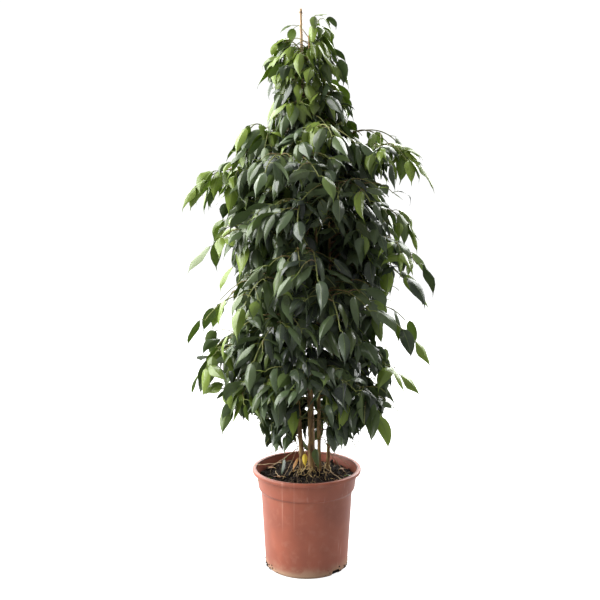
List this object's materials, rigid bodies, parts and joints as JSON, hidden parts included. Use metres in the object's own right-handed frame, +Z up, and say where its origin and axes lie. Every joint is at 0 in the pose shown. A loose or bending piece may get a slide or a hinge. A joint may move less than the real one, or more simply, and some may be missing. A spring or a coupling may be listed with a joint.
{
  "type": "potted weeping fig",
  "caption": "Potted weeping fig: rooted stems and a bamboo cane stand in a filled nursery pot, and arching leafy sprays hang pointed glossy leaves all round.",
  "frame": {"origin": "middle of the pot's flat base, where the pot stands on a surface", "axes": "+Z up along the pot's axis, -Y towards the front of the plant, +X to the plant's right as the front is looked at"},
  "size_m": [0.4735, 0.4622, 1.0581],
  "materials": {
    "pot_plastic": "satin",
    "compost": "matte",
    "bamboo": "satin",
    "bark": "matte",
    "leaf": "satin",
    "young_leaf": "satin"
  },
  "bodies": {
    "root": {"pot": "pot_plastic", "soil": "compost", "cane": "bamboo", "stem_left": "bark", "stem_middle": "bark", "stem_leader": "bark", "stem_right": "bark", "spray_01": "leaf", "spray_02": "leaf", "spray_03": "leaf", "spray_04": "leaf", "spray_05": "leaf", "spray_06": "leaf", "spray_07": "leaf", "spray_08": "leaf", "spray_09": "leaf", "spray_10": "leaf", "spray_11": "leaf", "spray_12": "leaf", "spray_13": "leaf", "spray_14": "leaf", "spray_15": "leaf", "spray_16": "leaf", "spray_17": "leaf", "spray_18": "leaf", "spray_19": "leaf", "spray_20": "leaf", "spray_21": "leaf", "spray_22": "leaf", "spray_23": "leaf", "spray_24": "leaf", "spray_25": "leaf", "spray_26": "leaf", "spray_27": "leaf", "spray_28": "leaf", "spray_29": "leaf", "spray_30": "leaf", "spray_31": "leaf", "spray_32": "leaf", "spray_33": "leaf", "spray_34": "leaf", "spray_35": "leaf", "spray_36": "leaf", "spray_37": "young_leaf", "spray_38": "young_leaf", "spray_39": "young_leaf", "spray_40": "young_leaf", "spray_41": "young_leaf", "spray_42": "young_leaf", "spray_43": "young_leaf", "spray_44": "young_leaf"}
  },
  "joints": []
}
